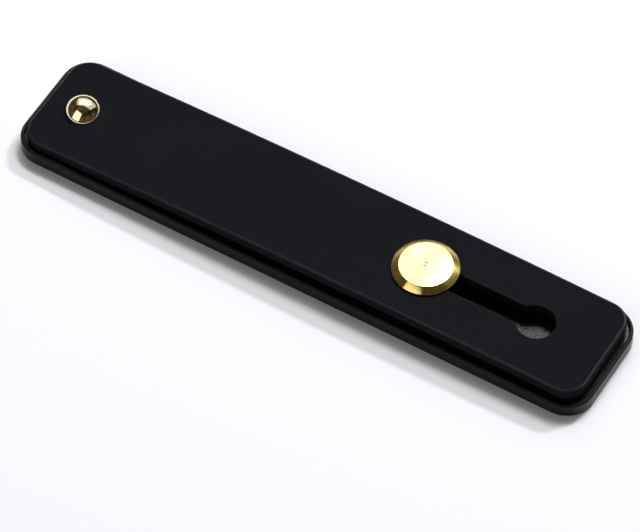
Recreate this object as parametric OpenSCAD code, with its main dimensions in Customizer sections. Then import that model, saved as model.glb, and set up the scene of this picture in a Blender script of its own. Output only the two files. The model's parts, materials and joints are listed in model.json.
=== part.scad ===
// Finger strap for the back of a phone.
// A bowed silicone strap lies in a shallow moulded tray. A domed stud pins its left end, and a flat
// button holds its right half through a keyhole slot. Pushed to the left, the strap's middle arches
// into a finger loop, and the slot's round end comes over the button's shoulder.
// Origin: middle of the underside. +X runs to the keyhole end, +Z up from the phone.

/* [Tray] */
// Length of the tray
tray_l = 100; // [92:1:112]
// Width of the tray
tray_w = 20.4; // [17:0.2:24]
// Corner radius of the tray, seen from above
tray_corner_r = 4.6; // [3.6:0.1:6]
// Height of the tray from its underside to the crest of its rim
tray_h = 2.55; // [2.4:0.05:3.4]
// Thickness of the rim, which is rounded over its whole width
rim_t = 0.6; // [0.5:0.05:0.9]
// Depth of the strap's recess below the crest of the rim
recess_depth = 0.65; // [0.5:0.05:0.75]
// Chamfer along the bottom edge of the tray
tray_chamfer = 0.2; // [0.1:0.05:0.3]

/* [Strap] */
// Gap between the strap's long sides and the rim
side_gap = 0.4; // [0.25:0.05:0.7]
// Gap between the strap's ends and the rim
end_gap = 0.5; // [0.3:0.05:1]
// Thickness of the strap
strap_t = 2; // [1.4:0.1:2.6]
// Radius along the strap's top and bottom edges
strap_edge_r = 0.45; // [0.2:0.05:0.6]
// Clearance above and below the strap where a stud or the tray holds it
strap_clear = 0.1; // [0.05:0.01:0.15]
// Clearance round the stud in the strap's anchor hole
anchor_clear = 0.1; // [0.05:0.01:0.3]
// Clearance round the button's neck in the slot
slot_clear = 0.1; // [0.05:0.01:0.3]
// Clearance round the button's shoulder in the slot's round end
lock_clear = 0.12; // [0.05:0.01:0.3]
// Distance that the strap slides from lying flat to its finger loop
travel = 19; // [14:0.5:21]
// Radius that blends the slot's sides into its round end
slot_blend_r = 0.9; // [0.4:0.1:1.4]

/* [Domed stud] */
// Distance from the tray's left end to the middle of the domed stud
dome_from_end = 7.1; // [6.2:0.1:10]
// Diameter of the stud's flange
flange_d = 5.9; // [5.4:0.1:7]
// Thickness of the flange
flange_t = 0.4; // [0.3:0.05:0.6]
// Fall of the flange's top from the dome's foot to the flange's edge
flange_fall = 0.15; // [0.05:0.05:0.2]
// Width of the level land between the dome's foot and the flange's slope
flange_land = 0.15; // [0.05:0.05:0.25]
// Diameter of the dome where it rises from the flange
dome_d = 4.8; // [4.4:0.1:5]
// Height of the dome above the flange
dome_h = 1.6; // [1:0.1:2.2]
// Diameter of the shank through the strap
anchor_shank_d = 3.6; // [3.2:0.1:4.4]

/* [Button] */
// Distance from the tray's right end to the middle of the button
button_from_end = 32; // [28:0.5:38]
// Diameter of the button
button_d = 10.4; // [9:0.1:12]
// Diameter of the button's flat face
button_face_d = 8.3; // [7:0.05:8.8]
// Height of the button's upright edge
button_edge_h = 0.3; // [0.3:0.05:0.6]
// Height of the bevel round the button's face
button_bevel_h = 0.7; // [0.4:0.05:0.8]
// Small chamfer under the button's edge
button_under_chamfer = 0.15; // [0.1:0.05:0.25]
// Diameter of the button's neck, which runs in the slot
neck_d = 3.4; // [3.2:0.1:4.2]
// Diameter of the shoulder that carries the strap and locks its round end
shoulder_d = 5.8; // [5.2:0.1:7]
// Height of the shoulder above the tray's floor
shoulder_h = 1.2; // [0.8:0.1:1.6]
// Diameter of the small turning mark in the middle of the face
turning_mark_d = 0.3; // [0.2:0.05:0.5]

/* [Screws] */
// Diameter of the screws that hold the studs from below
screw_d = 1.9; // [1.6:0.1:2]
// Diameter of their countersunk heads
screw_head_d = 3.4; // [3:0.1:3.8]
// Length of a screw from the face of its head to its tip
screw_l = 3.8; // [3:0.1:4.2]
// Clearance round the screws in the studs and in the tray
screw_clear = 0.05; // [0.02:0.01:0.1]
// Width of the cross recess's slots
cross_w = 0.4; // [0.3:0.05:0.5]
// Length of the cross recess's slots
cross_l = 1.8; // [1.4:0.1:2.2]
// Depth of the cross recess
cross_depth = 0.5; // [0.3:0.05:0.6]

/* [Adhesive] */
// Thickness of the adhesive foam pad
pad_t = 0.5; // [0.45:0.05:0.7]
// Depth of the pad's pocket in the underside of the tray
pocket_depth = 0.4; // [0.3:0.05:0.45]
// Width of the tray's underside round the pocket
pocket_border = 1.6; // [1.2:0.1:2.4]
// Gap between the pad and the pocket's wall
pad_gap = 0.15; // [0.05:0.05:0.4]
// Thickness of the release liner
liner_t = 0.1; // [0.05:0.01:0.2]
// Distance that the liner stands out past the pad
liner_margin = 0.6; // [0.2:0.1:1]

/* [Hidden] */
$fn = 64;
// Small overlap that makes cuts break through cleanly
cut = 0.5;

// Heights, from the surface that the liner lies on
pad_z = liner_t;
tray_z = pad_z + pad_t - pocket_depth;
pocket_z = tray_z + pocket_depth;
rim_z = tray_z + tray_h;
floor_z = rim_z - recess_depth;
shoulder_z = floor_z + shoulder_h;
strap_low_z = floor_z + strap_clear;
flange_z = strap_low_z + strap_t + strap_clear;
button_z = shoulder_z + strap_clear + strap_t + strap_clear;

// Places along the tray
dome_x = dome_from_end - tray_l/2;
button_x = tray_l/2 - button_from_end;
lock_x = button_x + travel;

// Outline of the strap
strap_l = tray_l - 2*(rim_t + end_gap);
strap_w = tray_w - 2*(rim_t + side_gap);
strap_corner_r = tray_corner_r - rim_t - side_gap;
anchor_hole_d = anchor_shank_d + 2*anchor_clear;
slot_w = neck_d + 2*slot_clear;
lock_hole_d = shoulder_d + 2*lock_clear;

// Fineness of the strap's surface: steps in a corner, along a side and round an edge
corner_steps = 8;
side_steps = 24;
edge_steps = 4;

screw_bore_d = screw_d + 2*screw_clear;
screw_cone_h = (screw_head_d - screw_d)/2;
screw_bore_depth = screw_l - (floor_z - pocket_z) + cut;
turning_mark_depth = turning_mark_d/2;

// Rise of the strap's underside over the tray's floor: none up to the domed stud, then a parabola
// whose crest lies on the button's shoulder
function bow(x) = x < dome_x ? 0 : shoulder_h*(1 - pow((button_x - x)/(button_x - dome_x), 2));

// Half outline of a rounded rectangle, from its left end to its right end, drawn in by inset
function half_outline(l, w, r, inset) = concat(
    [for (i = [0:corner_steps]) let (a = 180 - 90*i/corner_steps)
        [r - l/2 + (r - inset)*cos(a), w/2 - r + (r - inset)*sin(a)]],
    [for (i = [1:side_steps - 1]) [r - l/2 + (l - 2*r)*i/side_steps, w/2 - inset]],
    [for (i = [0:corner_steps]) let (a = 90 - 90*i/corner_steps)
        [l/2 - r + (r - inset)*cos(a), w/2 - r + (r - inset)*sin(a)]]);

// Edge of the strap as [inset, height] pairs: a quarter round, the upright side, a quarter round
function edge_profile(t, r) = concat(
    [for (i = [0:edge_steps]) let (a = 90*i/edge_steps) [r*(1 - sin(a)), r*(1 - cos(a))]],
    [for (i = [0:edge_steps]) let (a = 90*i/edge_steps) [r*(1 - cos(a)), t - r*(1 - sin(a))]]);

// Solid plate with rounded corners
module rounded_plate(l, w, r, h) {
    linear_extrude(h) {
        square([l - 2*r, w], center = true);
        square([l, w - 2*r], center = true);
        for (x = [-1, 1], y = [-1, 1]) translate([x*(l/2 - r), y*(w/2 - r)]) circle(r);
    }
}

// Section of the tray's wall, from its outer face inwards: chamfered foot and full-round crest
module wall_section() {
    crest_r = rim_t/2;
    polygon([[0, tray_chamfer], [0, tray_h - crest_r], [-rim_t, tray_h - crest_r], [-rim_t, 0],
             [-tray_chamfer, 0]]);
    translate([-crest_r, tray_h - crest_r]) circle(crest_r);
}

// The wall section on a straight run, whose outer face lies at distance from the middle
module wall_run(distance, length) {
    translate([distance, length/2, 0]) rotate([90, 0, 0]) linear_extrude(length) wall_section();
}

// The wall section carried round the tray: four straight runs joined by four quarter turns
module tray_wall() {
    r = tray_corner_r;
    for (turn = [0, 180]) {
        rotate([0, 0, turn]) wall_run(tray_l/2, tray_w - 2*r);
        rotate([0, 0, turn + 90]) wall_run(tray_w/2, tray_l - 2*r);
    }
    for (corner = [[1, 1, 0], [-1, 1, 90], [-1, -1, 180], [1, -1, 270]])
        translate([corner[0]*(tray_l/2 - r), corner[1]*(tray_w/2 - r), 0])
            rotate([0, 0, corner[2]]) rotate_extrude(angle = 90) translate([r, 0]) wall_section();
}

// Countersunk clearance hole for a screw, from the pocket up through the floor
module screw_hole(x) {
    hole_d = screw_d + 2*screw_clear;
    head_d = screw_head_d + 2*screw_clear;
    translate([x, 0, pocket_z]) {
        translate([0, 0, -cut]) cylinder(d = hole_d, h = tray_h + cut);
        cylinder(d1 = head_d, d2 = hole_d, h = screw_cone_h);
    }
}

// Moulded tray: a floor with a full-round rim, a pocket for the adhesive and two screw holes
module base_tray() {
    color("#1c1c1e") difference() {
        translate([0, 0, tray_z]) {
            tray_wall();
            rounded_plate(tray_l - rim_t, tray_w - rim_t, tray_corner_r - rim_t/2, floor_z - tray_z);
        }
        translate([0, 0, tray_z - cut])
            rounded_plate(tray_l - 2*pocket_border, tray_w - 2*pocket_border,
                          tray_corner_r - pocket_border, pocket_depth + cut);
        for (x = [dome_x, button_x]) screw_hole(x);
    }
}

// The strap's solid before its holes are cut: rings of the outline, one for each step of the edge
// profile, closed by strips across the top and the bottom, and lifted along the bow
module strap_blank() {
    rings = edge_profile(strap_t, strap_edge_r);
    half_n = 2*(corner_steps + 1) + side_steps - 1;
    ring_n = 2*half_n;
    points = [for (ring = rings)
        let (half = half_outline(strap_l, strap_w, strap_corner_r, ring[0]))
        for (k = [0:ring_n - 1])
            let (p = half[k < half_n ? k : ring_n - 1 - k])
            [p[0], k < half_n ? p[1] : -p[1], strap_low_z + ring[1] + bow(p[0])]];
    top = (len(rings) - 1)*ring_n;
    sides = [for (j = [0:len(rings) - 2], k = [0:ring_n - 1])
        let (a = j*ring_n + k, b = j*ring_n + (k + 1)%ring_n)
        each [[a, b, b + ring_n], [a, b + ring_n, a + ring_n]]];
    strips = [for (k = [0:half_n - 2])
        let (far = k, far_next = k + 1, near = ring_n - 1 - k, near_next = ring_n - 2 - k)
        each [[far, near, near_next], [far, near_next, far_next],
              [top + far, top + far_next, top + near_next], [top + far, top + near_next, top + near]]];
    polyhedron(points = points, faces = concat(sides, strips), convexity = 4);
}

// Keyhole slot seen from above: it starts at the button and widens into the round end. A blend's centre
// lies on the line y = slot_w/2 + slot_blend_r, its radius away from the round end
module keyhole_outline() {
    blend_y = slot_w/2 + slot_blend_r;
    blend_x = lock_x - sqrt(pow(lock_hole_d/2 + slot_blend_r, 2) - pow(blend_y, 2));
    translate([button_x, 0]) circle(d = slot_w);
    translate([button_x, -slot_w/2]) square([travel, slot_w]);
    translate([lock_x, 0]) circle(d = lock_hole_d);
    for (side = [-1, 1]) difference() {
        polygon([[blend_x, 0], [blend_x, side*blend_y], [lock_x, 0]]);
        translate([blend_x, side*blend_y]) circle(slot_blend_r);
    }
}

// Silicone strap: one moulding with a round anchor hole and a keyhole slot
module strap() {
    color("#222327") difference() {
        strap_blank();
        translate([0, 0, strap_low_z - cut]) linear_extrude(strap_t + shoulder_h + 2*cut) {
            translate([dome_x, 0]) circle(d = anchor_hole_d);
            keyhole_outline();
        }
    }
}

// Threaded bore up into a stud from the tray's floor
module stud_bore() {
    translate([0, 0, floor_z - cut]) cylinder(d = screw_bore_d, h = screw_bore_depth + cut);
}

// Turned anchor stud: a shank through the strap, a flange with a sloping top and a polished dome
module dome_stud() {
    flange_top = flange_z + flange_t;
    ball_r = (pow(dome_d/2, 2) + pow(dome_h, 2))/(2*dome_h);
    color("#c9a95a") translate([dome_x, 0, 0]) difference() {
        union() {
            translate([0, 0, floor_z]) cylinder(d = anchor_shank_d, h = flange_top - floor_z);
            rotate_extrude() polygon([
                [0, flange_z], [flange_d/2, flange_z], [flange_d/2, flange_top - flange_fall],
                [dome_d/2 + flange_land, flange_top], [0, flange_top]]);
            intersection() {
                translate([0, 0, flange_top + dome_h - ball_r]) sphere(ball_r);
                translate([0, 0, flange_top - flange_t/2]) cylinder(d = dome_d, h = dome_h + flange_t);
            }
        }
        stud_bore();
    }
}

// Turned button stud: a shoulder under the strap, a neck in its slot and a flat bevelled head
module button_stud() {
    edge_top = button_z + button_edge_h;
    face_z = edge_top + button_bevel_h;
    color("#d8bd74") translate([button_x, 0, 0]) difference() {
        rotate_extrude() polygon([
            [0, floor_z], [shoulder_d/2, floor_z], [shoulder_d/2, shoulder_z], [neck_d/2, shoulder_z],
            [neck_d/2, button_z], [button_d/2 - button_under_chamfer, button_z],
            [button_d/2, button_z + button_under_chamfer], [button_d/2, edge_top],
            [button_face_d/2, face_z], [0, face_z]]);
        stud_bore();
        translate([0, 0, face_z - turning_mark_depth])
            cylinder(d1 = 0, d2 = 2*turning_mark_d, h = 2*turning_mark_depth);
    }
}

// Countersunk screw, head down in the pocket, with a cross recess in its face
module countersunk_screw(x) {
    color("#9a9a9c") translate([x, 0, pocket_z]) difference() {
        union() {
            cylinder(d = screw_d, h = screw_l);
            cylinder(d1 = screw_head_d, d2 = screw_d, h = screw_cone_h);
        }
        for (turn = [0, 90]) rotate([0, 0, turn])
            translate([-cross_l/2, -cross_w/2, -cut]) cube([cross_l, cross_w, cross_depth + cut]);
    }
}

module anchor_screw() {
    countersunk_screw(dome_x);
}

module button_screw() {
    countersunk_screw(button_x);
}

// Double-sided foam pad that fills the pocket and stands a little below the tray
module adhesive_pad() {
    inset = pocket_border + pad_gap;
    color("#33343a") translate([0, 0, pad_z])
        rounded_plate(tray_l - 2*inset, tray_w - 2*inset, tray_corner_r - inset, pad_t);
}

// Release liner under the pad, peeled off before the strap is stuck to a phone
module release_liner() {
    inset = pocket_border + pad_gap - liner_margin;
    color("#e8e6e0")
        rounded_plate(tray_l - 2*inset, tray_w - 2*inset, tray_corner_r - inset, liner_t);
}

base_tray();
strap();
dome_stud();
button_stud();
anchor_screw();
button_screw();
adhesive_pad();
release_liner();
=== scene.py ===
# %% [markdown]
# A finger strap for the back of a phone: a bowed silicone strap lies in a shallow moulded tray. A
# domed stud pins its left end, and a flat gilt button holds its right half through a keyhole slot.
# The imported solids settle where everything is. This script gives each piece the surface that the
# eye meets: small rounded edges, the finish of each material, and the strap's arch when it slides.
# Pieces that look right as solids, such as the tray, keep their solid and only get a material.

import json
import math

import bmesh
import bpy
import numpy as np
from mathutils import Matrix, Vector

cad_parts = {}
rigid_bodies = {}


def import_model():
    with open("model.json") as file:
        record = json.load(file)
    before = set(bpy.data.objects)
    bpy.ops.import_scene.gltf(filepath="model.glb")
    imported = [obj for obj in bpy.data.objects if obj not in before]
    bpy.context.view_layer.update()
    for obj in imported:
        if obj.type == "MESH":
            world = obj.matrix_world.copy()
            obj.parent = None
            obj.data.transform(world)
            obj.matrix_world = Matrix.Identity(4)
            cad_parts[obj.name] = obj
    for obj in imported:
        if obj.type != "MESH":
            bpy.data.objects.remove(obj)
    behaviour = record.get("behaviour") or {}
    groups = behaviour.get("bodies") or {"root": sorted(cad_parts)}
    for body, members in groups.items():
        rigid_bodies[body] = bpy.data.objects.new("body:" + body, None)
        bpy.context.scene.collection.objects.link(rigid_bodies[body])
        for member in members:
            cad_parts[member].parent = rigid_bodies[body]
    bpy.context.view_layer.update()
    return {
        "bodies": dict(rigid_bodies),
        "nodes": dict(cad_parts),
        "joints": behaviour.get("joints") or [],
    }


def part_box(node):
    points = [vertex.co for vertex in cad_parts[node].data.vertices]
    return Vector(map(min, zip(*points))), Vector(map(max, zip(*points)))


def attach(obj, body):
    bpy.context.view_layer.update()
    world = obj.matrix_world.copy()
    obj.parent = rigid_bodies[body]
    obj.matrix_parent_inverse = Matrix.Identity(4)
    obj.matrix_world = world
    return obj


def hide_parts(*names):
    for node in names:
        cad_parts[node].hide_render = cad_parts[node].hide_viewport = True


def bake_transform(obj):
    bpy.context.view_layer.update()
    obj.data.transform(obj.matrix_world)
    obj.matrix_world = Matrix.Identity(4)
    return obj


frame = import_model()
MM = 0.001

# %% [markdown]
# The sizes come from the solids' own boxes, so that a piece made here fits where its solid lies.
# Only what a box can't tell, such as a corner's radius, is written down again, in millimetres.

# %% Read the sizes from the solids
def box_mm(node):
    """Lowest and highest corner of a solid in millimetres, rounded to a micrometre."""
    return [np.round(np.array(corner) / MM, 3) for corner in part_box(node)]


strap_low, strap_high = box_mm("strap")
dome_low, dome_high = box_mm("dome_stud")
button_low, button_high = box_mm("button_stud")

travel = frame["joints"][0]["range_m"][1] / MM
floor_z = button_low[2]
dome_x = (dome_low[0] + dome_high[0]) / 2
button_x = (button_low[0] + button_high[0]) / 2
lock_x = button_x + travel
print("domed stud at", dome_x, "button at", button_x, "slot's round end at", lock_x)

# %% [markdown]
# A long lens far away keeps the strap's long sides almost parallel, as product photographs do. A
# camera could be dragged into place by eye, but then nobody could say where it stands. Here it is
# placed by its distance and two angles round a point on the floor, and then turned to that point.

# %% Place the camera
CAMERA_AZIMUTH = math.radians(30.79)
CAMERA_ELEVATION = math.radians(53.60)
CAMERA_DISTANCE = 0.7672
LOOK_AT = Vector((2.09, -4.31, 0)) * MM
LENS = 284.9


def direction(azimuth, elevation):
    """Unit vector at an azimuth, counted from the front towards the right, and an elevation."""
    return Vector((
        math.sin(azimuth) * math.cos(elevation),
        -math.cos(azimuth) * math.cos(elevation),
        math.sin(elevation),
    ))


def aim(thing, target, towards, distance):
    """Puts a camera or lamp at a distance from the target and turns it to face the target."""
    thing.location = target + towards * distance
    thing.rotation_euler = (-towards).to_track_quat("-Z", "Y").to_euler()
    bpy.context.scene.collection.objects.link(thing)


camera = bpy.data.objects.new("camera", bpy.data.cameras.new("camera"))
camera.data.lens = LENS
camera.data.clip_start = 0.01
aim(camera, LOOK_AT, direction(CAMERA_AZIMUTH, CAMERA_ELEVATION), CAMERA_DISTANCE)
bpy.context.scene.camera = camera
bpy.context.scene.view_settings.view_transform = "Standard"
print("camera at", [round(c / MM) for c in camera.location], "mm")

# %% [markdown]
# A few short helpers serve every material. Colours are written as sRGB hex values, which is how a
# picture shows them, and turned to the linear light that shaders count in. Nodes are added by one
# function that takes the node's settings and what goes into each of its sockets. A socket is found
# by its name, or by its place in the node's list where several sockets share a name. That is so in a
# Mix node, which has a pair of sockets for each kind of value, so the places of its colours are
# named here.

# %% Helpers for colours and nodes
def linear(hex_colour):
    """Linear RGBA of an sRGB hex colour: each channel c becomes ((c + 0.055)/1.055)^2.4, or c/12.92
    when it is very dark."""
    channels = np.array([int(hex_colour[i:i + 2], 16) for i in (1, 3, 5)]) / 255
    curved = ((channels + 0.055) / 1.055) ** 2.4
    return (*np.where(channels <= 0.04045, channels / 12.92, curved), 1.0)


def add(tree, kind, inputs=None, **settings):
    """Adds one node. A setting is an attribute of the node. An input is a value for the socket, or
    another node's output, which is linked to it."""
    node = tree.nodes.new(kind)
    for name, value in settings.items():
        setattr(node, name, value)
    for socket, value in (inputs or {}).items():
        if isinstance(value, bpy.types.NodeSocket):
            tree.links.new(value, node.inputs[socket])
        else:
            node.inputs[socket].default_value = value
    return node


def new_tree(owner):
    """Turns on the nodes of a material or world and empties them."""
    owner.use_nodes = True
    owner.node_tree.nodes.clear()
    return owner.node_tree


def per_mm(size):
    """Scale of a pattern whose features measure size millimetres on the object."""
    return 1 / (size * MM)


# Sockets of a Mix node that mixes colours, and of a Mix Shader node
FACTOR, COLOUR_A, COLOUR_B, COLOUR_OUT = 0, 6, 7, 2
SHADER_A, SHADER_B = 1, 2

print("linear value of mid grey", round(linear("#808080")[0], 3))

# %% [markdown]
# The floor is white card. Its colour is what makes the picture's background, and it takes the
# strap's shadow. A brighter lamp could whiten it too, but would bleach the strap. Far from the strap,
# where the lamps no longer reach, cameras and reflections see the card's own tone instead, so that
# a low view has a pale background as well.

# %% Lay the floor
FLOOR_COLOUR = "#F3F4FA"
FLOOR_TONE = "#FAFAFE"
FLOOR_HALF = 4.0
LIT_RADIUS, FAR_RADIUS = 0.14, 0.40


def white_card():
    material = bpy.data.materials.new("white_card")
    tree = new_tree(material)
    place = add(tree, "ShaderNodeTexCoord")
    away = add(tree, "ShaderNodeVectorMath", {0: place.outputs["Object"]}, operation="LENGTH")
    far = add(tree, "ShaderNodeMapRange", {
        "Value": away.outputs["Value"], "From Min": LIT_RADIUS, "From Max": FAR_RADIUS,
    }, interpolation_type="SMOOTHSTEP")
    ray = add(tree, "ShaderNodeLightPath")
    seen = ray.outputs["Is Camera Ray"]
    for kind in ("Is Glossy Ray", "Is Transmission Ray"):
        either = add(tree, "ShaderNodeMath", {0: seen, 1: ray.outputs[kind]}, operation="MAXIMUM")
        seen = either.outputs[0]
    share = add(tree, "ShaderNodeMath", {0: seen, 1: far.outputs[0]}, operation="MULTIPLY")
    card = add(tree, "ShaderNodeBsdfDiffuse", {"Color": linear(FLOOR_COLOUR)})
    tone = add(tree, "ShaderNodeEmission", {"Color": linear(FLOOR_TONE), "Strength": 1.0})
    mixed = add(tree, "ShaderNodeMixShader", {
        FACTOR: share.outputs[0], SHADER_A: card.outputs[0], SHADER_B: tone.outputs[0],
    })
    add(tree, "ShaderNodeOutputMaterial", {"Surface": mixed.outputs[0]})
    return material


floor_mesh = bpy.data.meshes.new("floor")
corners = [(-FLOOR_HALF, -FLOOR_HALF, 0), (FLOOR_HALF, -FLOOR_HALF, 0),
           (FLOOR_HALF, FLOOR_HALF, 0), (-FLOOR_HALF, FLOOR_HALF, 0)]
floor_mesh.from_pydata(corners, [], [(0, 1, 2, 3)])
floor_mesh.materials.append(white_card())
card_floor = bpy.data.objects.new("floor", floor_mesh)
bpy.context.scene.collection.objects.link(card_floor)
print("floor", 2 * FLOOR_HALF, "m wide")

# %% [markdown]
# Five lit panels. The wide and the middle softbox behind the strap are what the button's flat face
# mirrors, so their brightness decides how pale the gilt looks. The small bright softbox over them
# casts the shadow's dark part, and the back lamp draws its crisp outer edge. The square softbox in
# front puts its mirror image on the dome and on the button's bevel. One big lamp would light the
# strap as well, but polished metal shows each lamp as a shape. A panel is given by its radiance,
# because that is what a mirror shows.

# %% Hang the lamps
LAMP_DISTANCE = 1.2


def softbox(name, azimuth, elevation, width, height, radiance):
    """Rectangular lamp aimed at the strap. Its size is given in degrees as seen from there, and its
    power is radiance times pi times its area."""
    lamp = bpy.data.lights.new(name, "AREA")
    lamp.shape = "RECTANGLE"
    lamp.size = 2 * LAMP_DISTANCE * math.tan(math.radians(width / 2))
    lamp.size_y = 2 * LAMP_DISTANCE * math.tan(math.radians(height / 2))
    lamp.energy = radiance * math.pi * lamp.size * lamp.size_y
    thing = bpy.data.objects.new(name, lamp)
    thing.visible_camera = False
    aim(thing, Vector((0, 0, 0)), direction(math.radians(azimuth), math.radians(elevation)), LAMP_DISTANCE)
    print(name, round(lamp.size, 2), "by", round(lamp.size_y, 2), "m,", round(lamp.energy, 1), "W")


softbox("bright_softbox", azimuth=184, elevation=60, width=20, height=11, radiance=23)
softbox("wide_softbox", azimuth=190, elevation=51, width=84, height=58, radiance=0.55)
softbox("middle_softbox", azimuth=203, elevation=53, width=48, height=38, radiance=0.9)
softbox("back_lamp", azimuth=165, elevation=43, width=6, height=3.2, radiance=200)
softbox("square_softbox", azimuth=-14, elevation=33, width=40, height=50, radiance=1.2)

# %% [markdown]
# The room round the lamps is dim and warm, and it is what the gilt mirrors between them. A plain
# world colour would make the metal look painted there, so its brightness wanders a little with the
# direction. Below the horizon the room has the card's pale tone.

# %% Light the room
ROOM_COLOUR = "#FFDDA8"
DARKEST, LIGHTEST = 0.01, 0.1
CARD_STRENGTH = 0.9


def dim_room():
    room = bpy.data.worlds.new("dim_room")
    tree = new_tree(room)
    towards = add(tree, "ShaderNodeTexCoord").outputs["Object"]
    upward = add(tree, "ShaderNodeSeparateXYZ", {0: towards}).outputs["Z"]
    horizon = add(tree, "ShaderNodeMapRange", {"Value": upward, "From Min": 0.02, "From Max": 0.06})
    pale = add(tree, "ShaderNodeBackground", {"Color": linear(FLOOR_TONE), "Strength": CARD_STRENGTH})
    corners = add(tree, "ShaderNodeTexNoise", {"Vector": towards, "Scale": 2.2, "Detail": 1.0})
    gloom = add(tree, "ShaderNodeMapRange", {
        "Value": corners.outputs["Fac"], "From Min": 0.35, "From Max": 0.65,
        "To Min": DARKEST, "To Max": LIGHTEST,
    })
    dim = add(tree, "ShaderNodeBackground", {"Color": linear(ROOM_COLOUR), "Strength": gloom.outputs[0]})
    both = add(tree, "ShaderNodeMixShader", {
        FACTOR: horizon.outputs[0], SHADER_A: pale.outputs[0], SHADER_B: dim.outputs[0],
    })
    add(tree, "ShaderNodeOutputWorld", {"Surface": both.outputs[0]})
    return room


bpy.context.scene.world = dim_room()
print("the world is", bpy.context.scene.world.name)

# %% [markdown]
# Every new piece is a grid of points worked out as one array, rows by columns. Neighbouring points
# make the faces. A direction that closes on itself joins its last line to its first, and lines of
# points that fall together, such as the pole of a turned part, are merged into one.

# %% Turn a grid of points into a piece
def grid_faces(rows, columns, rows_close):
    """Corner indices of the faces between a grid's lines: row i and i + 1 with column j and j + 1,
    where the columns always close on themselves and the rows do so when told."""
    i = np.arange(rows if rows_close else rows - 1)[:, None]
    j = np.arange(columns)[None, :]
    below, after = (i + 1) % rows, (j + 1) % columns
    quads = [i * columns + j, i * columns + after, below * columns + after, below * columns + j]
    return np.stack(quads, axis=-1).reshape(-1, 4)


def make_piece(name, points, rows_close):
    """Closed mesh from a rows by columns by 3 array in millimetres. Points that fall together are
    merged, and the faces are turned outwards if the enclosed volume comes out negative."""
    rows, columns, _ = points.shape
    mesh = bpy.data.meshes.new(name)
    faces = grid_faces(rows, columns, rows_close)
    mesh.from_pydata((points.reshape(-1, 3) * MM).tolist(), [], faces.tolist())
    shape = bmesh.new()
    shape.from_mesh(mesh)
    bmesh.ops.remove_doubles(shape, verts=shape.verts, dist=1e-4 * MM)
    if shape.calc_volume(signed=True) < 0:
        bmesh.ops.reverse_faces(shape, faces=shape.faces)
    volume = shape.calc_volume(signed=True) / MM ** 3
    shape.to_mesh(mesh)
    shape.free()
    mesh.shade_smooth()
    piece = bpy.data.objects.new(name, mesh)
    bpy.context.scene.collection.objects.link(piece)
    print(name, len(mesh.polygons), "faces,", round(volume, 1), "cubic mm")
    return piece


# %% [markdown]
# The strap is one silicone moulding. It could be an extruded outline with its edges bevelled, but
# such a mesh has long, thin faces that show as flat spots once the strap bends. Seen from above it
# is a rounded rectangle with a keyhole slot, so it has the shape of a flattened ring: one direction
# of the grid runs round the outline, the other runs round the section, across the top, down the
# side, back along the bottom and up the slot's wall. A round outline is a small rectangle whose
# points are pushed out along a turning arrow, which keeps corners round at any inset.

# %% Strap: its outline as columns
strap_corner_r = 3.6
strap_edge_r = 0.45
strap_t = 2.0
slot_half = 1.8
lock_r = 3.02
blend_r = 0.9
half_l, half_w = strap_high[0], strap_high[1]
core_x, core_y = half_l - strap_corner_r, half_w - strap_corner_r

# Where the slot's straight side ends, as a blend that is tangent to it and to the round end
blend_y = slot_half + blend_r
blend_x = lock_x - math.sqrt((lock_r + blend_r) ** 2 - blend_y ** 2)
tangent_x = blend_x + blend_r * (lock_x - blend_x) / (lock_r + blend_r)

# Stretches of half the outline, from the middle of the left end to the middle of the right end
KNOT_X = [-core_x, -core_x, -core_x, button_x, blend_x, lock_x, core_x, core_x, core_x]
KNOT_Y = [0, core_y, core_y, core_y, core_y, core_y, core_y, core_y, 0]
KNOT_TURN = np.radians([180, 180, 90, 90, 90, 90, 90, 0, 0])
STRETCH_STEPS = [10, 16, 90, 26, 34, 20, 16, 12]


def outline_columns():
    """Core point and outward arrow of each column. Half of the outline is interpolated between the
    knots, with the given number of steps in each stretch, and the other half is its mirror image."""
    knots = np.arange(len(KNOT_X))
    half = np.interp(np.arange(sum(STRETCH_STEPS) + 1), np.cumsum([0] + STRETCH_STEPS), knots)
    column = np.concatenate([half, half[-2:0:-1]])
    side = np.concatenate([np.ones(len(half)), -np.ones(len(half) - 2)])
    turn = np.interp(column, knots, KNOT_TURN)
    core = np.stack([np.interp(column, knots, KNOT_X), side * np.interp(column, knots, KNOT_Y)], axis=-1)
    arrow = np.stack([np.cos(turn), side * np.sin(turn)], axis=-1)
    return core, arrow


core, arrow = outline_columns()
print("the strap's outline has", len(core), "columns")

# %% [markdown]
# Each column needs a place on the slot's wall that faces it. The slot's middle line runs from the
# button to the round end. From the nearest point of that line a ray goes out to the outline, and it
# crosses the wall at a distance that only depends on where it starts.

# %% Strap: the slot's wall
def wall_distance(x):
    """Distance from the slot's middle line to its wall: half the slot's width, then the arc that
    blends it into the round end, then the round end's circle."""
    blend = blend_y - np.sqrt(np.maximum(blend_r ** 2 - (x - blend_x) ** 2, 0))
    round_end = np.sqrt(np.maximum(lock_r ** 2 - (x - lock_x) ** 2, 0))
    return np.select([x < blend_x, x < tangent_x], [slot_half, blend], round_end)


nearest_x = np.clip(core[:, 0] + strap_corner_r * arrow[:, 0], button_x, lock_x)
start = np.stack([nearest_x, np.zeros(len(core))], axis=-1)
ray = core + (strap_corner_r - strap_edge_r) * arrow - start
ray /= np.linalg.norm(ray, axis=1, keepdims=True)
wall = wall_distance(start[:, 0])
print("the slot's wall lies", wall.min(), "to", round(wall.max(), 2), "mm from its middle line")

# %% [markdown]
# The section is the same for every column: a flat top, a quarter round at the outer edge, the side
# with the mould's parting line at half height, the bottom, and the slot's wall with its small lips.
# A row that lies just inside each round holds the flat top flat, so that the shading doesn't bleed.

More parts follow.
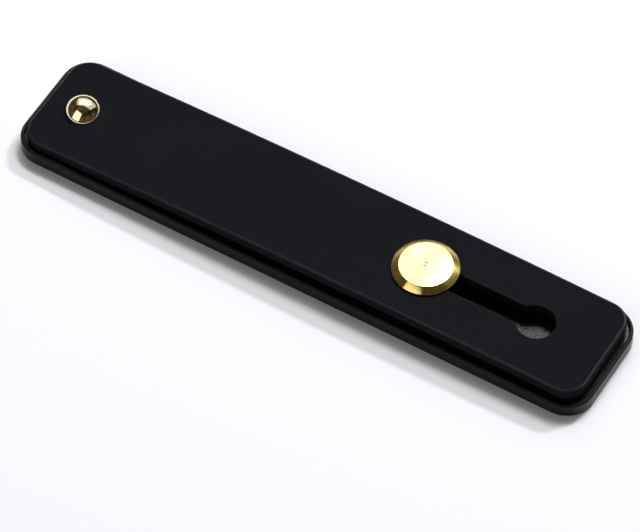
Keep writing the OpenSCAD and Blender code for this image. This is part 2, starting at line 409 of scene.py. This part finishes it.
# %% Strap: its section as rows
lip_r = 0.2
hold = 0.05
flash_height = 0.07
flash_width = 0.06
TOP_ROWS, BOTTOM_ROWS, EDGE_ROWS, WALL_ROWS = 84, 30, 6, 5
PARTING_ROWS = np.array([0.4, 0.25, 0.12, 0.06, 0.03, 0, -0.03, -0.06, -0.12, -0.25, -0.4])


def section_rows():
    """Rows of the section as four arrays: share of the way from the slot's wall to the outline, gap
    from the wall, inset from the outline, and height over the strap's underside."""
    bend = np.linspace(0, np.pi / 2, EDGE_ROWS + 1)
    outer, up = strap_edge_r * (1 - np.sin(bend)), strap_edge_r * (1 - np.cos(bend))
    lip, lip_up = lip_r * (1 - np.sin(bend)), lip_r * (1 - np.cos(bend))
    across_top = np.linspace(0, 1, TOP_ROWS + 1)[1:-1]
    across_bottom = np.linspace(1, 0, BOTTOM_ROWS + 1)[1:-1]
    up_wall = np.linspace(lip_r, strap_t - lip_r, WALL_ROWS + 1)[1:-1]
    stretches = [
        (0, lip_r + hold, 0, [strap_t]),
        (across_top, lip_r, strap_edge_r, strap_t),
        (1, 0, strap_edge_r + hold, [strap_t]),
        (1, 0, outer, strap_t - up),
        (1, 0, 0, strap_t / 2 + PARTING_ROWS),
        (1, 0, outer[::-1], up[::-1]),
        (across_bottom, lip_r, strap_edge_r, 0),
        (0, lip, 0, lip_up),
        (0, 0, 0, up_wall),
        (0, lip[::-1], 0, strap_t - lip_up[::-1]),
    ]
    return np.concatenate([np.stack(np.broadcast_arrays(*stretch)) for stretch in stretches], axis=1)


share, gap, inset, height = section_rows()[:, :, None, None]
print("the strap's section has", len(share), "rows")

# %% [markdown]
# The stud presses the strap's left end on the tray, and the button's shoulder lifts it further
# right, so it leaves the factory in a slight bow. The parting line is where the mould's two halves
# met. Silicone seeps into it and is trimmed by hand, which leaves a thin, broken ridge.

# %% Strap: bend and close it
bow_rise = strap_high[2] - strap_low[2] - strap_t
anchor_hole_r = 1.9


def bow(x):
    """Rise of the strap: none up to the domed stud, then a parabola with its crest at the button."""
    return np.where(x < dome_x, 0, bow_rise * (1 - ((button_x - x) / (button_x - dome_x)) ** 2))


def flash(columns):
    """Share of the parting ridge that trimming left in each column: sines of unrelated lengths added
    up, with what is below zero cut away."""
    t = np.linspace(0, 2 * np.pi, columns, endpoint=False)
    left = 0.35 + 0.45 * np.sin(23 * t + 1.0) + 0.35 * np.sin(57 * t + 2.0) + 0.3 * np.sin(91 * t)
    return np.clip(left, 0, 1)


def strap_points():
    """Rows by columns array of the strap's points. A point lies on the straight line from the slot's
    wall to the outline, at the row's share of the way, and is lifted by the bow."""
    ridge = flash_height * np.exp(-((height - strap_t / 2) / flash_width) ** 2) * flash(len(core))[:, None]
    outer = core + (strap_corner_r - inset + ridge * share) * arrow
    inner = start + (wall[:, None] + gap) * ray
    plan = inner + share * (outer - inner)
    rise = strap_low[2] + height + bow(plan[..., :1])
    return np.concatenate([plan, rise], axis=-1)


strap_piece = make_piece("silicone_strap", strap_points(), rows_close=True)

# %% [markdown]
# A turned part is a profile carried round an axis. A Screw modifier could do that, and a Bevel could
# round the corners, but a grid keeps every ring where the profile puts it. The lathe tool never
# leaves a perfect corner, and the hair-thin round that it does leave is what draws a bright line
# along an edge. So each corner of the profile is rounded before the profile is turned.

# %% Turned parts
def rounded(corners, radii, steps=5):
    """Profile with rounded corners. Corner P becomes the parabola (1-t)^2 A + 2t(1-t) P + t^2 B,
    where A and B lie the corner's radius away from P along its two arms."""
    corners = np.array(corners, float)
    radii = np.array(radii, float)[:, None]
    before, after = np.roll(corners, 1, axis=0) - corners, np.roll(corners, -1, axis=0) - corners
    a = corners + before * np.minimum(radii / np.linalg.norm(before, axis=1, keepdims=True), 0.5)
    b = corners + after * np.minimum(radii / np.linalg.norm(after, axis=1, keepdims=True), 0.5)
    t = np.linspace(0, 1, steps)[None, :, None]
    curves = (1 - t) ** 2 * a[:, None] + 2 * t * (1 - t) * corners[:, None] + t ** 2 * b[:, None]
    return curves.reshape(-1, 2)


def turned(name, profile, x, columns):
    """Piece made by carrying a profile of (radius, height) points round the upright axis at x."""
    angle = np.linspace(0, 2 * np.pi, columns, endpoint=False)[None, :]
    radius, level = profile[:, 0, None], profile[:, 1, None]
    points = [x + radius * np.cos(angle), radius * np.sin(angle), level + 0 * angle]
    return make_piece(name, np.stack(points, axis=-1), rows_close=False)


square = rounded([(0, 0), (1, 0), (1, 1), (0, 1)], [0.1] * 4)
print("a square with rounded corners has", len(square), "points")

# %% [markdown]
# The button: a broad shoulder carries the strap, a neck runs in the slot, and the flat head has a
# bevel round its face. A screw comes up into it from below, and the lathe left a small mark in the
# middle of the face. The face is crowned by a twentieth of a millimetre, height minus crown times
# the square of the distance from the axis over the face's radius, because a lapped face is never
# quite flat, and a perfectly flat one would mirror a single spot of the room.

# %% Button
button_r = (button_high[0] - button_low[0]) / 2
button_face_r = 4.15
button_edge_h, button_bevel_h, button_under = 0.25, 0.75, 0.15
shoulder_r, shoulder_h = 2.9, 1.2
neck_r = 1.7
mark_r, mark_depth = 0.15, 0.03
crown_h, crown_rows = 0.05, 14
face_inset, mark_inset = 0.2, 0.05
bore_r, bore_top = 1.0, floor_z + 2.8
edge_round = 0.05

face_z = button_high[2]
bevel_z = face_z - button_bevel_h
under_z = bevel_z - button_edge_h
button_corners = [
    (0, bore_top), (bore_r, bore_top), (bore_r, floor_z), (shoulder_r, floor_z),
    (shoulder_r, floor_z + shoulder_h), (neck_r, floor_z + shoulder_h), (neck_r, under_z),
    (button_r - button_under, under_z), (button_r, under_z + button_under), (button_r, bevel_z),
    (button_face_r, face_z - crown_h), (button_face_r - face_inset, face_z - 0.9 * crown_h),
]
button_rounds = [0, 0] + [edge_round] * 9 + [0]
crown_x = np.linspace(button_face_r - 2 * face_inset, mark_r + mark_inset, crown_rows)
crown = np.stack([crown_x, face_z - crown_h * (crown_x / button_face_r) ** 2], axis=-1)
mark_corners = [(mark_r + mark_inset, face_z), (mark_r, face_z), (0, face_z - mark_depth)]
mark = rounded(mark_corners, [0, mark_r / 4, 0])
button_profile = np.concatenate([rounded(button_corners, button_rounds), crown, mark])
button_piece = turned("gilt_button", button_profile, button_x, columns=160)

# %% [markdown]
# The domed stud: a shank through the strap and a low polished head. The head is a ball from the top
# almost to its foot, where a small roll takes it over into the upright edge without a kink. Near the
# foot it mirrors the white floor on all sides, and that draws the thin bright ring round it. A UV
# sphere cut in half would give the same ball, but not the roll.

# %% Domed stud
head_r = (dome_high[0] - dome_low[0]) / 2
head_z = strap_low[2] + strap_t + 0.1
ball_r, roll_r = 3.2, 0.12
shank_r = 1.8

ball_z = dome_high[2] - ball_r
roll_lean = math.asin((head_r - roll_r) / (ball_r - roll_r))
roll_z = ball_z + (ball_r - roll_r) * math.cos(roll_lean)


def arc(x, z, radius, leans):
    """Points of an arc round (x, z), where each lean is the surface's tilt from level."""
    return np.stack([x + radius * np.sin(leans), z + radius * np.cos(leans)], axis=-1)


shank_corners = [(0, bore_top), (bore_r, bore_top), (bore_r, floor_z), (shank_r, floor_z),
                 (shank_r, head_z), (head_r, head_z), (head_r, roll_z)]
stud_profile = np.concatenate([
    rounded(shank_corners, [0, 0, edge_round, edge_round, 0, edge_round, 0]),
    arc(head_r - roll_r, roll_z, roll_r, np.linspace(np.pi / 2, roll_lean, 9))[1:],
    arc(0, ball_z, ball_r, np.linspace(roll_lean, 0, 41))[1:],
])
dome_piece = turned("gilt_dome", stud_profile, dome_x, columns=128)

# %% [markdown]
# The stud's shank goes through a round hole in the strap's left end. The hole is cut with a Boolean
# modifier, because a ring-shaped grid has room for only one opening, and that is the keyhole. The
# cutter is turned like the other parts and reaches past the strap on both sides.

# %% Cut the strap's anchor hole
def cut(piece, cutter):
    """Takes the cutter's shape out of the piece with a Boolean, applies it and deletes the cutter."""
    modifier = piece.modifiers.new("hole", "BOOLEAN")
    modifier.object = cutter
    modifier.solver = "EXACT"
    evaluated = piece.evaluated_get(bpy.context.evaluated_depsgraph_get())
    mesh = bpy.data.meshes.new_from_object(evaluated)
    piece.modifiers.clear()
    piece.data = mesh
    bpy.data.objects.remove(cutter)


drill_top = 9
drill_profile = np.array([(0, 0), (anchor_hole_r, 0), (anchor_hole_r, drill_top), (0, drill_top)])
drill = turned("drill", drill_profile, dome_x, columns=72)
drill.data.shade_flat()
cut(strap_piece, drill)
print("the strap now has", len(strap_piece.data.polygons), "faces")

# %% [markdown]
# The strap's small top edges are the smoothest part of its mould, and they shine where the flat top
# stays matt. The finish changes with how far a point lies below the top, which a pattern on Object
# coordinates can't tell on a bowed strap. So each point of the mesh keeps its share of the polish
# as an attribute: none on the flat top, full just below it, and none again down the side.

# %% Strap: the polish of its edges
POLISH_DEPTH = [0.003, 0.02, 0.12, 0.25]
POLISH_SHARE = [0, 1, 1, 0]

coordinates = np.zeros(len(strap_piece.data.vertices) * 3)
strap_piece.data.vertices.foreach_get("co", coordinates)
flat = coordinates.reshape(-1, 3) / MM
depth = strap_low[2] + strap_t + bow(flat[:, 0]) - flat[:, 2]
polish = np.interp(depth, POLISH_DEPTH, POLISH_SHARE).astype(np.float32)
strap_piece.data.attributes.new("polish", "FLOAT", "POINT").data.foreach_set("value", polish)
print("polished points", int((polish > 0.5).sum()), "of", len(polish))

# %% [markdown]
# The strap is liquid silicone rubber from a spark-eroded mould: nearly black and matt, with slow
# clouds where dust and skin oil change the sheen a little. A photograph of rubber could be wrapped
# round it, but noise never repeats and needs no seams. The mould's grain is far finer than a pixel,
# so it is drawn at a quarter of a millimetre, as coarse as it needs to be to break up the light.

# %% Moulded silicone
def moulded_silicone():
    material = bpy.data.materials.new("moulded_silicone")
    tree = new_tree(material)
    place = add(tree, "ShaderNodeTexCoord").outputs["Object"]
    clouds = add(tree, "ShaderNodeTexNoise", {"Vector": place, "Scale": per_mm(11), "Detail": 3.0})
    colour = add(tree, "ShaderNodeMix", {
        FACTOR: clouds.outputs["Fac"], COLOUR_A: linear("#15171B"), COLOUR_B: linear("#191B1F"),
    }, data_type="RGBA")
    sheen = add(tree, "ShaderNodeMapRange", {
        "Value": clouds.outputs["Fac"], "To Min": 0.66, "To Max": 0.78,
    })
    edge = add(tree, "ShaderNodeAttribute", attribute_name="polish").outputs["Fac"]
    smooth = add(tree, "ShaderNodeMapRange", {"Value": edge, "To Min": sheen.outputs[0], "To Max": 0.35})
    gloss = add(tree, "ShaderNodeMapRange", {"Value": edge, "To Min": 0.02, "To Max": 0.4})
    grain = add(tree, "ShaderNodeTexNoise", {"Vector": place, "Scale": per_mm(0.25), "Detail": 2.0})
    bump = add(tree, "ShaderNodeBump", {
        "Height": grain.outputs["Fac"], "Strength": 0.35, "Distance": 0.01 * MM,
    })
    shader = add(tree, "ShaderNodeBsdfPrincipled", {
        "Base Color": colour.outputs[COLOUR_OUT], "Roughness": smooth.outputs[0], "IOR": 1.41,
        "Specular IOR Level": gloss.outputs[0], "Normal": bump.outputs[0],
    })
    add(tree, "ShaderNodeOutputMaterial", {"Surface": shader.outputs[0]})
    return material


def dress(piece, material):
    """Gives the piece this one material."""
    piece.data.materials.clear()
    piece.data.materials.append(material)
    print(piece.name, "is", material.name, "of", len(material.node_tree.nodes), "nodes")


dress(strap_piece, moulded_silicone())

# %% [markdown]
# The tray is injection-moulded ABS. Its rim and walls are dull from the mould. Its floor has a fine
# spark-eroded texture with a plain gloss, so it shines grey where it mirrors a lamp through the slot.
# One material does both: it changes with the height, just over the floor. The texture is drawn
# coarser than the real one, so that its grains are about as large as a pixel.

# %% Moulded ABS
def moulded_abs():
    material = bpy.data.materials.new("moulded_abs")
    tree = new_tree(material)
    place = add(tree, "ShaderNodeTexCoord").outputs["Object"]
    level = add(tree, "ShaderNodeSeparateXYZ", {0: place}).outputs["Z"]
    clouds = add(tree, "ShaderNodeTexNoise", {"Vector": place, "Scale": per_mm(7), "Detail": 3.0})
    colour = add(tree, "ShaderNodeMix", {
        FACTOR: clouds.outputs["Fac"], COLOUR_A: linear("#0F0F10"), COLOUR_B: linear("#141415"),
    }, data_type="RGBA")
    band = {"Value": level, "From Min": (floor_z + 0.02) * MM, "From Max": (floor_z + 0.06) * MM}
    dullness = add(tree, "ShaderNodeMapRange", {**band, "To Min": 0.26, "To Max": 0.44})
    gloss = add(tree, "ShaderNodeMapRange", {**band, "To Min": 0.15, "To Max": 0.1})
    relief = add(tree, "ShaderNodeMapRange", {**band, "To Min": 1.0, "To Max": 0.2})
    grain = add(tree, "ShaderNodeTexNoise", {"Vector": place, "Scale": per_mm(0.45), "Detail": 3.0})
    bump = add(tree, "ShaderNodeBump", {
        "Height": grain.outputs["Fac"], "Strength": relief.outputs[0], "Distance": 0.035 * MM,
    })
    shader = add(tree, "ShaderNodeBsdfPrincipled", {
        "Base Color": colour.outputs[COLOUR_OUT], "Roughness": dullness.outputs[0], "IOR": 1.54,
        "Specular IOR Level": gloss.outputs[0], "Normal": bump.outputs[0],
    })
    add(tree, "ShaderNodeOutputMaterial", {"Surface": shader.outputs[0]})
    return material


dress(frame["nodes"]["base_tray"], moulded_abs())

# %% [markdown]
# Both studs are turned brass with a thin gilt plating. A metal's base colour is its mirror colour,
# so a pale yellow looks like deep gold once it mirrors a dim room. The dome is buffed on a cloth
# wheel. It mirrors the lamps sharply, with a faint haze that wanders.

# %% Buffed gilt
def buffed_gilt():
    material = bpy.data.materials.new("buffed_gilt")
    tree = new_tree(material)
    place = add(tree, "ShaderNodeTexCoord").outputs["Object"]
    haze = add(tree, "ShaderNodeTexNoise", {"Vector": place, "Scale": per_mm(1.6), "Detail": 4.0})
    colour = add(tree, "ShaderNodeMix", {
        FACTOR: haze.outputs["Fac"], COLOUR_A: linear("#F9EDC6"), COLOUR_B: linear("#F6E8BC"),
    }, data_type="RGBA")
    buff = add(tree, "ShaderNodeMapRange", {"Value": haze.outputs["Fac"], "To Min": 0.05, "To Max": 0.09})
    shader = add(tree, "ShaderNodeBsdfPrincipled", {
        "Base Color": colour.outputs[COLOUR_OUT], "Metallic": 1.0, "Roughness": buff.outputs[0],
    })
    add(tree, "ShaderNodeOutputMaterial", {"Surface": shader.outputs[0]})
    return material


dress(dome_piece, buffed_gilt())

# %% [markdown]
# The button's face is lapped and a little cloudy, and its bevel keeps the lathe's fine rings. The
# rings are finer than a pixel, so they aren't drawn one by one: an anisotropic highlight smears
# what the bevel mirrors along the slope only, as a thousand rings would. Its tangent points away
# from the button's axis. Between two rings light is mirrored twice, so the gold is deeper there.

# %% Turned gilt
def turned_gilt():
    material = bpy.data.materials.new("turned_gilt")
    tree = new_tree(material)
    place = add(tree, "ShaderNodeTexCoord").outputs["Object"]
    level = add(tree, "ShaderNodeSeparateXYZ", {0: place}).outputs["Z"]
    clouds = add(tree, "ShaderNodeTexNoise", {"Vector": place, "Scale": per_mm(2.4), "Detail": 4.0})
    patchy = add(tree, "ShaderNodeMapRange", {
        "Value": clouds.outputs["Fac"], "From Min": 0.35, "From Max": 0.65,
    })
    lapped = add(tree, "ShaderNodeMix", {
        FACTOR: patchy.outputs[0], COLOUR_A: linear("#F9E79C"), COLOUR_B: linear("#FDEFBC"),
    }, data_type="RGBA")
    face_edge = face_z - crown_h
    band = {"Value": level, "From Min": (face_edge - 0.05) * MM, "From Max": face_edge * MM}
    roughness = add(tree, "ShaderNodeMapRange", {**band, "To Min": 0.17, "To Max": 0.1})
    rings = add(tree, "ShaderNodeMapRange", {**band, "To Min": 0.9, "To Max": 0.0})
    on_face = add(tree, "ShaderNodeMapRange", band)
    plating = add(tree, "ShaderNodeMix", {
        FACTOR: on_face.outputs[0], COLOUR_A: linear("#F8DF86"), COLOUR_B: lapped.outputs[COLOUR_OUT],
    }, data_type="RGBA")
    axis = (button_x * MM, 0, 0)
    from_axis = add(tree, "ShaderNodeVectorMath", {0: place, 1: axis}, operation="SUBTRACT").outputs[0]
    outward = add(tree, "ShaderNodeVectorMath", {0: from_axis, 1: (1, 1, 0)}, operation="MULTIPLY")
    bump = add(tree, "ShaderNodeBump", {
        "Height": clouds.outputs["Fac"], "Strength": 1.0, "Distance": 0.004 * MM,
    })
    shader = add(tree, "ShaderNodeBsdfPrincipled", {
        "Base Color": plating.outputs[COLOUR_OUT], "Metallic": 1.0, "Roughness": roughness.outputs[0],
        "Anisotropic": rings.outputs[0], "Tangent": outward.outputs[0], "Normal": bump.outputs[0],
    })
    add(tree, "ShaderNodeOutputMaterial", {"Surface": shader.outputs[0]})
    return material


dress(button_piece, turned_gilt())

# %% [markdown]
# Under the tray are the two countersunk screws, the foam pad and the paper that covers its glue until
# the strap is stuck on. Each could have a material of its own, but they come from one recipe: a
# colour that wanders a little, a roughness that wanders with it, and a fine relief.

# %% Screws, foam and paper
def plain(name, light, dark, roughness, feature, relief, metallic=0.0):
    """Material whose colour and roughness wander over features of one size, given in millimetres."""
    material = bpy.data.materials.new(name)
    tree = new_tree(material)
    place = add(tree, "ShaderNodeTexCoord").outputs["Object"]
    noise = add(tree, "ShaderNodeTexNoise", {"Vector": place, "Scale": per_mm(feature), "Detail": 4.0})
    colour = add(tree, "ShaderNodeMix", {
        FACTOR: noise.outputs["Fac"], COLOUR_A: linear(dark), COLOUR_B: linear(light),
    }, data_type="RGBA")
    matt = add(tree, "ShaderNodeMapRange", {
        "Value": noise.outputs["Fac"], "To Min": roughness * 0.85, "To Max": roughness * 1.15,
    })
    bump = add(tree, "ShaderNodeBump", {
        "Height": noise.outputs["Fac"], "Strength": 1.0, "Distance": relief * MM,
    })
    shader = add(tree, "ShaderNodeBsdfPrincipled", {
        "Base Color": colour.outputs[COLOUR_OUT], "Metallic": metallic,
        "Roughness": matt.outputs[0], "Normal": bump.outputs[0],
    })
    add(tree, "ShaderNodeOutputMaterial", {"Surface": shader.outputs[0]})
    return material


zinc = plain("zinc_plated_steel", "#C6C9CC", "#AEB2B7", roughness=0.32, feature=0.5, relief=0.004,
             metallic=1.0)
foam = plain("closed_cell_foam", "#3C3D42", "#2C2D31", roughness=0.85, feature=0.35, relief=0.05)
paper = plain("glassine_paper", "#EEECE6", "#E2DFD7", roughness=0.42, feature=1.2, relief=0.006)
dress(frame["nodes"]["anchor_screw"], zinc)
dress(frame["nodes"]["button_screw"], zinc)
dress(frame["nodes"]["adhesive_pad"], foam)
dress(frame["nodes"]["release_liner"], paper)

# %% [markdown]
# The strap slides, and its middle rises into a loop for the finger. A point of the strap moves with
# the tray left of the arch and with the sliding end right of it. Between them the strip keeps its
# length while its ends come together, so it buckles like a ruler pushed from its ends. A soft-body
# simulation would find that shape too, but slowly, and not the same one each time.

# %% Arch the strap as it slides
arch_left = dome_x + 3.2
arch_right = 12.3
arch_length = arch_right + travel - arch_left
STEEPEST, SLOPES, STEPS = 2.4, 2401, 2001


def arch(points):
    """Shift of each point at full travel. Along the arch the slope angle is a sine of the distance s,
    alpha*sin(2*pi*s/length), where alpha makes the mean cosine equal to the chord over the length.
    Adding up the cosine and sine of the angle gives the curve, and points keep their distance to it."""
    s = np.linspace(0, arch_length, STEPS)
    wave = np.sin(2 * np.pi * s / arch_length)
    slopes = np.linspace(0, STEEPEST, SLOPES)
    mean_cosine = np.cos(slopes[:, None] * wave[None, :-1]).mean(axis=1)
    alpha = np.interp(travel / arch_length, 1 - mean_cosine, slopes)
    step = s[1]
    angle = alpha * wave
    middle = (angle[1:] + angle[:-1]) / 2
    curve_x = arch_left + np.concatenate([[0], np.cumsum(np.cos(middle))]) * step
    curve_z = np.concatenate([[0], np.cumsum(np.sin(middle))]) * step
    along = np.clip(points[:, 0] - arch_left, 0, arch_length)
    lean = np.interp(along, s, angle)
    above = points[:, 2] - bow(points[:, 0]) - (strap_low[2] + strap_t / 2)
    beyond = points[:, 0] - arch_left - along
    run = np.interp(along, s, curve_x) + beyond - above * np.sin(lean) - points[:, 0]
    rise = np.interp(along, s, curve_z) + above * (np.cos(lean) - 1)
    return run, rise


def store(mesh, name, vectors):
    """Keeps one vector in metres for each point of the mesh."""
    attribute = mesh.attributes.new(name, "FLOAT_VECTOR", "POINT")
    attribute.data.foreach_set("vector", (vectors * MM).astype(np.float32).ravel())


run, rise = arch(flat)
none = np.zeros(len(flat))
store(strap_piece.data, "flat_place", flat)
store(strap_piece.data, "arch_run", np.stack([run, none, none], axis=-1))
store(strap_piece.data, "arch_rise", np.stack([none, none, rise], axis=-1))
store(strap_piece.data, "shoulder_drop", np.stack([none, none, -bow(flat[:, 0])], axis=-1))
print("the loop rises", round(rise.max(), 1), "mm")

# %% [markdown]
# A small node tree on the strap reads how far the sliding body has moved and adds the shifts. Shape
# keys would need a driver to follow the body, and this needs none. The run grows evenly with the
# travel. The rise grows with its square root, as a buckled strip's does. The drop comes last, when
# the slot's round end passes over the button's shoulder.

# %% Arch: the modifier
RISE_POWER, DROP_POWER = 0.5, 12.0


def arch_modifier(piece, slider):
    tree = bpy.data.node_groups.new("strap_arch", "GeometryNodeTree")
    tree.interface.new_socket("Geometry", in_out="INPUT", socket_type="NodeSocketGeometry")
    tree.interface.new_socket("Geometry", in_out="OUTPUT", socket_type="NodeSocketGeometry")
    shape = add(tree, "NodeGroupInput")
    info = add(tree, "GeometryNodeObjectInfo", {"Object": slider}, transform_space="ORIGINAL")
    moved = add(tree, "ShaderNodeSeparateXYZ", {0: info.outputs["Location"]})
    part = add(tree, "ShaderNodeMath", {0: moved.outputs["X"], 1: -travel * MM},
               operation="DIVIDE", use_clamp=True)
    root = add(tree, "ShaderNodeMath", {0: part.outputs[0], 1: RISE_POWER}, operation="POWER")
    late = add(tree, "ShaderNodeMath", {0: part.outputs[0], 1: DROP_POWER}, operation="POWER")
    kept = add(tree, "GeometryNodeInputNamedAttribute", {"Name": "flat_place"}, data_type="FLOAT_VECTOR")
    place = kept.outputs[0]
    for name, amount in (("arch_run", part), ("arch_rise", root), ("shoulder_drop", late)):
        shift = add(tree, "GeometryNodeInputNamedAttribute", {"Name": name}, data_type="FLOAT_VECTOR")
        scaled = add(tree, "ShaderNodeVectorMath", {0: shift.outputs[0], "Scale": amount.outputs[0]},
                     operation="SCALE")
        summed = add(tree, "ShaderNodeVectorMath", {0: place, 1: scaled.outputs[0]}, operation="ADD")
        place = summed.outputs[0]
    set_place = add(tree, "GeometryNodeSetPosition", {"Geometry": shape.outputs[0], "Position": place})
    add(tree, "NodeGroupOutput", {0: set_place.outputs[0]})
    piece.modifiers.new("arch", "NODES").node_group = tree
    print("the arch is worked out by", len(tree.nodes), "nodes")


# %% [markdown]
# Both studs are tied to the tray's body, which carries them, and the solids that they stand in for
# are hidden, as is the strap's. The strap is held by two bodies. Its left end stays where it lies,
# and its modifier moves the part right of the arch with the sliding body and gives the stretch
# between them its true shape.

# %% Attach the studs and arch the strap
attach(button_piece, "base")
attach(dome_piece, "base")
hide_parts("button_stud")
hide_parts("dome_stud")
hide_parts("strap")
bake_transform(strap_piece)
arch_modifier(strap_piece, frame["bodies"]["strap"])
print("the strap is blended over", round(arch_length, 1), "mm")
